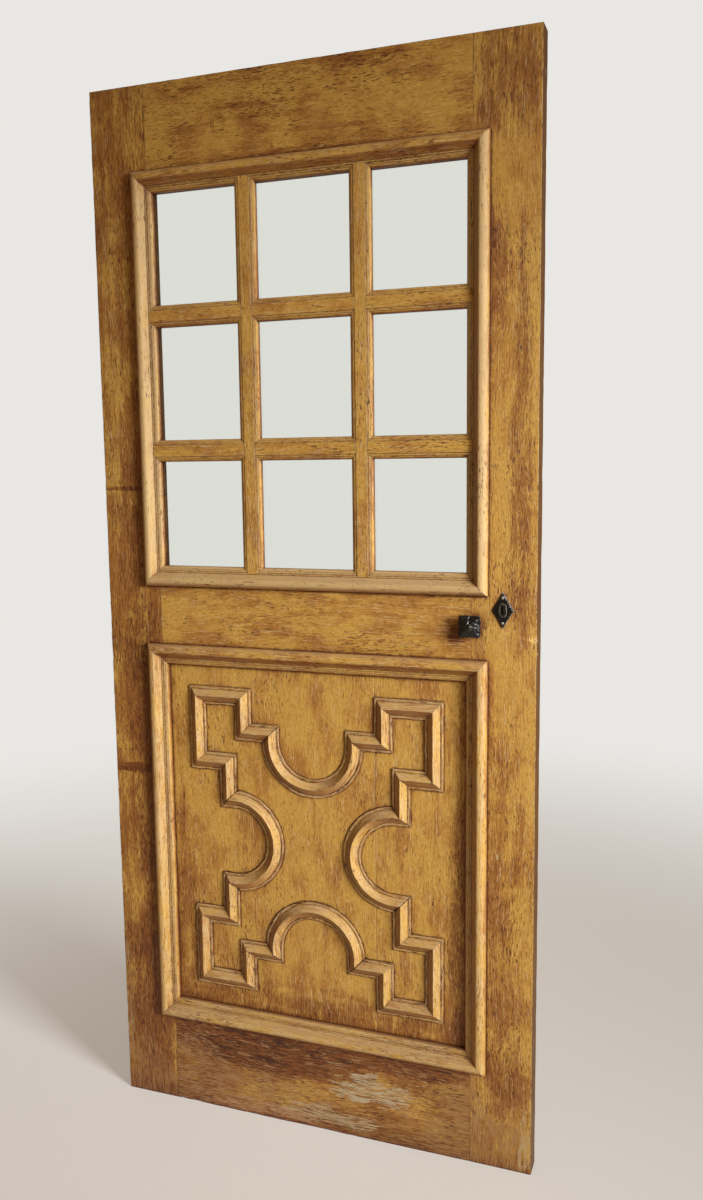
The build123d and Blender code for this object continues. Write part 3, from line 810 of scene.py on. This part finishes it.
# Stain and rubbing by the start of a piece's name: 0 is clean, and 1 covers it nearly all
finishes = {
    # The hinge stile's stain is partly dirt and partly painted shade where the light falls off to the left
    "hinge_stile": (0.52, 0.04),
    "lock_stile": (0.1, 0.1),
    # The top rail's stain is partly dirt and partly painted shade where the light falls off towards the top
    "top_rail": (0.22, 0.0),
    "lock_rail": (0.1, 0.15),
    "bottom_rail": (0.55, 0.15),
    "panel_board_left": (0.1, 0.12),
    "panel_board_right": (0.15, 0.12),
    "upper_moulding_top": (0.15, 0.3),
    "upper_moulding": (0.05, 0.85),
    "lower_moulding_top": (0.25, 0.3),
    "lower_moulding": (0.05, 0.5),
    "glazing_bar": (0.1, 0.2),
    "glazing_beads": (0.2, 0.0),
    "cross_bars": (0.15, 0.15),
    "strap": (0.1, 0.5),
}
# Each mark: kind or colour, middle across and up, width and height, strength, how torn its edge is
marks = {
    "hinge_stile": [
        ("stain", (70, 900), (120, 1100), 0.2, 2.0),
        ("rub", (25, 1500), (50, 800), 0.15, 2.0),
        ("stain", (60, 200), (180, 560), 0.3, 2.0),
        ("#A98F62", (8, 230), (40, 520), 0.7, 2.0),
        ("#9A7048", (60, 30), (300, 340), 0.76, 2.2),
        ("#7E4A20", (50, 760), (220, 760), 0.66, 2.0),
        ("stain", (45, 702), (150, 26), 0.6, 2.4),
        ("stain", (50, 1262), (150, 12), 0.5, 2.0),
    ],
    "lock_stile": [
        ("stain", (822, 1330), (60, 1000), 0.5, 1.6),
        # Darker top of the stile: partly dirt, partly painted shade where the light falls off towards the top
        ("stain", (800, 1940), (170, 300), 0.5, 1.8),
        ("stain", (775, 1640), (80, 300), 0.45, 1.6),
        ("#8F8052", (785, 1910), (80, 260), 0.45, 2.0),
        ("#C9B48A", (783, 603), (8, 22), 0.9, 0.5),
        ("#A27C4C", (745, 60), (420, 320), 0.78, 2.0),
        ("#B79E72", (838, 60), (40, 200), 0.8, 2.0),
        ("stain", (800, 330), (120, 520), 0.28, 2.0),
        ("stain", (755, 900), (60, 260), 0.3, 1.8),
        ("stain", (770, 80), (330, 420), 0.28, 1.4),
        ("stain", (805, 650), (120, 500), 0.25, 1.8),
    ],
    "top_rail": [
        ("knot", (267, 1914), (34, 38), 0.6, 0.5),
        ("knot", (159, 1876), (40, 34), 0.6, 0.7),
        ("#5A3212", (166, 1866), (8, 12), 0.9, 1.0),
        ("#5A3212", (371, 1868), (10, 50), 0.7, 1.8),
        ("#5A3212", (382, 1969), (36, 16), 0.7, 2.4),
        ("stain", (425, 1835), (600, 60), 0.5, 1.8),
        ("stain", (425, 1990), (700, 40), 0.3, 2.0),
    ],
    "lock_rail": [
        # Smudge beside the knob: partly a stain, partly the knob's painted shadow
        ("stain", (706, 1002), (36, 50), 0.8, 1.6),
        ("stain", (389, 1020), (300, 130), 0.25, 2.4),
        ("#4A2810", (377, 949), (46, 4), 0.7, 1.4),
    ],
    "bottom_rail": [
        ("stain", (340, 145), (480, 130), 0.8, 1.8),
        ("stain", (600, 165), (400, 60), 0.6, 1.8),
        ("stain", (150, 110), (260, 300), 0.3, 1.8),
        ("#A27C4C", (425, 30), (1300, 200), 0.72, 2.4),
        ("#A27C4C", (745, 60), (420, 320), 0.78, 2.0),
        ("#A07A52", (200, 70), (560, 260), 0.76, 2.4),
        ("#BDB192", (550, 105), (300, 100), 0.79, 2.4),
        ("#B7A37E", (450, 32), (420, 60), 0.82, 2.4),
        ("#B58C66", (330, 20), (420, 50), 0.8, 2.4),
    ],
    "panel_board_left": [
        ("stain", (380, 245), (640, 110), 0.5, 1.8),
        ("stain", (150, 420), (80, 600), 0.5, 1.6),
        ("#8A5526", (290, 262), (340, 100), 0.7, 1.8),
        ("#5C3414", (205, 781), (10, 10), 0.8, 0.6),
    ],
    "panel_board_right": [
        ("stain", (660, 245), (320, 110), 0.5, 1.8),
        # Darker strip along the right moulding: partly stain, partly the moulding's painted shadow
        ("stain", (718, 520), (70, 860), 0.45, 1.6),
    ],
}
print(sum(len(places) for places in marks.values()), "marks on", len(marks), "pieces")

# %% Pine on every wooden piece
wooden = [name for name in pieces if not name.startswith(("glass", "keyhole", "knob", "rose"))]
for index, name in enumerate(sorted(wooden)):
    shown[name].data.materials.clear()
    shown[name].data.materials.append(pine(name, index + 1))
print(len(wooden), "pieces of pine")

# %% [markdown]
# ## Window glass
# Old panes are clear and slightly wavy, because the sheet was drawn or blown by hand. The waves could
# be modelled, but they are a few hundredths of a millimetre high and only bend the light. So a low,
# wide noise in the normal does it, and no colour is needed beyond a hint of green.

# %% Glass in the nine lights
wave_width = 90


def window_glass():
    """Clear drawn glass with slow waves, smooth as fire left it."""
    material = bpy.data.materials.new("wavy_window_glass")
    material.use_nodes = True
    tree = material.node_tree
    shader = tree.nodes["Principled BSDF"]
    place = add_node(tree, "ShaderNodeTexCoord").outputs["Object"]
    waves = add_node(tree, "ShaderNodeTexNoise", {"Vector": place, "Scale": every(wave_width), "Detail": 1})
    bump = add_node(tree, "ShaderNodeBump",
                    {"Strength": 0.25, "Distance": 0.001, "Height": waves.outputs["Fac"]})
    tree.links.new(bump.outputs[0], shader.inputs["Normal"])
    shader.inputs["Base Color"].default_value = linear("#F3F8F4")
    shader.inputs["Roughness"].default_value = 0.02
    shader.inputs["IOR"].default_value = 1.52
    shader.inputs["Transmission Weight"].default_value = 1.0
    return material


glass = window_glass()
panes = [name for name in pieces if name.startswith("glass")]
for name in panes:
    shown[name].data.materials.clear()
    shown[name].data.materials.append(glass)
print("glass on", len(panes), "rows of panes")

# %% [markdown]
# ## Black wrought iron
# The plate and the knob were forged, filed and blackened, and wax has kept nearly all rust off them. The
# hammer leaves shallow hollows a few millimetres wide. They could be sculpted, but a black surface with
# a gloss shows them only by the sparks of light in them, and a bump in the normal gives those. The
# plate's rim and the heads of its two nails are pale: partly rubbed bright by keys and cloths, and partly
# a painted highlight.

# %% Iron for the plate, the knob and the nails
hammer_width, scale_width, rust_width = 7, 1.5, 9
iron_edge = 0.0012
iron_corner = 0.003


def black_iron(name, bare, hammered, smoothest, roughest, rubbed_and_highlit):
    """Forged iron, blackened and waxed, with hammered hollows, a trace of rust and arrises pale from rubbing
    and painted highlight.
    """
    material = bpy.data.materials.new(name)
    material.use_nodes = True
    tree = material.node_tree
    shader = tree.nodes["Principled BSDF"]
    place = add_node(tree, "ShaderNodeTexCoord").outputs["Object"]
    hammer = add_node(tree, "ShaderNodeTexNoise",
                      {"Vector": place, "Scale": every(hammer_width), "Detail": 2}).outputs["Fac"]
    scale = add_node(tree, "ShaderNodeTexNoise",
                     {"Vector": place, "Scale": every(scale_width), "Detail": 3}).outputs["Fac"]
    rust = add_node(tree, "ShaderNodeTexNoise", {
        "Vector": place, "Scale": every(rust_width), "Detail": 4, "Roughness": 0.7}).outputs["Fac"]
    closed = add_node(tree, "ShaderNodeAmbientOcclusion", {"Distance": iron_corner}, samples=8).outputs["AO"]
    rounded, match = edge_match(tree, iron_edge)
    colour = coat(tree, linear(bare), "#241A15", rust, 0.52, 0.7, 0.6)
    # Pale arrises: partly iron rubbed bright, partly painted highlight
    colour = coat(tree, colour, "#B5AEA2", match, 0.98, 0.9, rubbed_and_highlit)
    colour = coat(tree, colour, "#0A0908", closed, 0.7, 0.3, 0.8)
    tree.links.new(colour, shader.inputs["Base Color"])
    sheen = add_node(tree, "ShaderNodeMapRange",
                     {"Value": rust, "From Min": 0.35, "From Max": 0.65, "To Min": smoothest,
                      "To Max": roughest})
    tree.links.new(sheen.outputs["Result"], shader.inputs["Roughness"])
    height = summed(tree, 0.0, (scale, 0.15), (hammer, hammered))
    bump = add_node(tree, "ShaderNodeBump",
                    {"Strength": 1.0, "Distance": 0.001, "Height": height, "Normal": rounded})
    tree.links.new(bump.outputs[0], shader.inputs["Normal"])
    shader.inputs["Specular IOR Level"].default_value = 0.5
    return material


iron = black_iron("black_wrought_iron", "#0D0C0D", 2.0, 0.14, 0.36, 0.5)
plate_iron = black_iron("plate_iron_rubbed_and_highlit_at_its_rim", "#0D0C0D", 2.0, 0.14, 0.36, 0.85)
# The nail heads are pale grey: partly rubbed iron, partly painted highlight
nail_iron = black_iron("nail_iron_rubbed_and_highlit", "#807B72", 0.5, 0.14, 0.28, 0.5)
print("three finishes of iron:", iron.name, plate_iron.name, nail_iron.name)

# %% Worn iron
leaf_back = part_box("lock_stile")[1].y
filed_radius = 0.0004
knob_pieces = ("knob_front", "knob_back", "knob_spindle")


def is_filed(edge):
    """True for an edge of the ironwork that a file took the sharpness off."""
    return free_arris(edge, None, (leaf_front, leaf_back))


ironwork = [name for name in pieces if name.startswith(("keyhole", "knob", "rose"))]
for name in ironwork:
    if name != "knob_spindle":
        body = "knob" if name in knob_pieces else "leaf"
        shown[name] = worn_copy(name, merged(name), None, 0, [(is_filed, filed_radius, 0)], body)
    shown[name].data.materials.clear()
    shown[name].data.materials.append(plate_iron if name == "keyhole_plate" else iron)
print(len(ironwork), "pieces of iron")

# %% [markdown]
# ## Nails of the plate
# Two forged nails with domed heads hold the plate, one near each tip. Their heads are squashed spheres
# whose lower halves lie hidden in the plate: a half sphere would do, but it would leave an open rim.

# %% Two nail heads
nail_radius = 0.0028
nail_dome = 0.0018
nail_reach = 0.0222
plate_thickness = 0.0025
plate_low, plate_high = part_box("keyhole_plate")
plate_middle = (plate_low + plate_high) / 2


def nail_head(name, middle, radius, height):
    """Domed head of a forged nail that lies on the plate."""
    mesh = bpy.data.meshes.new(name)
    shape = bmesh.new()
    squash = Matrix.Translation(middle) @ Matrix.Diagonal((radius, height, radius, 1))
    bmesh.ops.create_uvsphere(shape, u_segments=20, v_segments=12, radius=1, matrix=squash)
    for face in shape.faces:
        face.smooth = True
    shape.to_mesh(mesh)
    shape.free()
    head = bpy.data.objects.new(name, mesh)
    bpy.context.scene.collection.objects.link(head)
    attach(head, "leaf")
    return head


for name, side in (("plate_nail_top", 1), ("plate_nail_bottom", -1)):
    middle = Vector((plate_middle.x, leaf_front - plate_thickness, plate_middle.z + side * nail_reach))
    nail_head(name, middle, nail_radius, nail_dome).data.materials.append(nail_iron)
print("nails", round(2 * nail_reach * 1000, 1), "mm apart")

# %% [markdown]
# ## Floor, backdrop and light
# A plain studio has a sweep of pale paper that rises behind the object. A modelled sweep would catch the
# lamp and show its bend, so here a pale floor fades into a world of the same colour. One soft lamp
# stands to the right and a little above, as in the photograph, with a weak even fill from all around.
# The fill is what the world gives to surfaces, and the pale backdrop is only what the camera sees, also
# through the glass.

# %% Floor that fades into the backdrop
backdrop_colour = "#E9E7E3"
floor_radius = 30
fade_start = 0.4
fade_end = 3.2
nearest_glow = 0.3


def seen_directly(tree):
    """1 for what the camera sees, also through glass, and 0 for what only lights or shines."""
    path = add_node(tree, "ShaderNodeLightPath").outputs
    return add_node(tree, "ShaderNodeMath", {0: path["Is Camera Ray"], 1: path["Is Transmission Ray"]},
                    operation="MAXIMUM").outputs[0]


def studio_floor():
    """Large disc under the door, which takes its shadow and melts into the backdrop."""
    mesh = bpy.data.meshes.new("floor")
    shape = bmesh.new()
    bmesh.ops.create_circle(shape, cap_ends=True, segments=96, radius=floor_radius)
    shape.to_mesh(mesh)
    shape.free()
    material = bpy.data.materials.new("pale_floor")
    material.use_nodes = True
    tree = material.node_tree
    shader = tree.nodes["Principled BSDF"]
    shader.inputs["Base Color"].default_value = linear("#F0EEEA")
    shader.inputs["Roughness"].default_value = 0.85
    place = add_node(tree, "ShaderNodeTexCoord").outputs["Object"]
    distance = add_node(tree, "ShaderNodeVectorMath", {0: place}, operation="LENGTH").outputs["Value"]
    fade = add_node(tree, "ShaderNodeMapRange",
                    {"Value": distance, "From Min": fade_start, "From Max": fade_end,
                     "To Min": nearest_glow}, interpolation_type="SMOOTHSTEP")
    share = add_node(tree, "ShaderNodeMath", {0: fade.outputs["Result"], 1: seen_directly(tree)},
                     operation="MULTIPLY")
    glow = add_node(tree, "ShaderNodeEmission", {"Color": linear(backdrop_colour)})
    mixed = add_node(tree, "ShaderNodeMixShader",
                     {0: share.outputs[0], 1: shader.outputs[0], 2: glow.outputs[0]})
    tree.links.new(mixed.outputs[0], tree.nodes["Material Output"].inputs["Surface"])
    mesh.materials.append(material)
    floor = bpy.data.objects.new("floor", mesh)
    bpy.context.scene.collection.objects.link(floor)
    return floor


floor = studio_floor()
floor.location = (leaf_middle.x, 0, cad_box[0].z)
print("floor at", round(floor.location.z, 4))

# %% Lamp
key_turn = radians(64)
key_height = radians(15)
key_distance = 4.6
key_side = 1.3
key_spread = radians(42)
key_power = 22.5
light_aim = Vector((leaf_middle.x, 0, 0.8))

towards_key = Vector((0, -1, 0))
towards_key.rotate(Matrix.Rotation(key_height, 3, "X").inverted())
towards_key.rotate(Matrix.Rotation(key_turn, 3, "Z"))
key_data = bpy.data.lights.new("key_lamp", "AREA")
key_data.shape = "RECTANGLE"
key_data.size = key_data.size_y = key_side
key_data.energy = key_power
key_data.spread = key_spread
key = bpy.data.objects.new("key_lamp", key_data)
key.matrix_world = Matrix.LocRotScale(
    light_aim + towards_key * key_distance, towards_key.to_track_quat("Z", "Y"), None)
key.visible_camera = False
bpy.context.scene.collection.objects.link(key)
print("key lamp at", [round(value, 2) for value in key.location])

# %% Fill and backdrop
fill_strength = 0.28

world = bpy.data.worlds.new("studio")
world.use_nodes = True
bpy.context.scene.world = world
tree = world.node_tree
fill = tree.nodes["Background"]
fill.inputs["Color"].default_value = linear("#FFD8AC")
fill.inputs["Strength"].default_value = fill_strength
backdrop = add_node(tree, "ShaderNodeBackground", {"Color": linear(backdrop_colour), "Strength": 1.0})
either = add_node(tree, "ShaderNodeMixShader",
                  {0: seen_directly(tree), 1: fill.outputs[0], 2: backdrop.outputs[0]})
tree.links.new(either.outputs[0], tree.nodes["World Output"].inputs["Surface"])
bpy.context.scene.view_settings.view_transform = "Standard"
print("fill of strength", fill_strength)
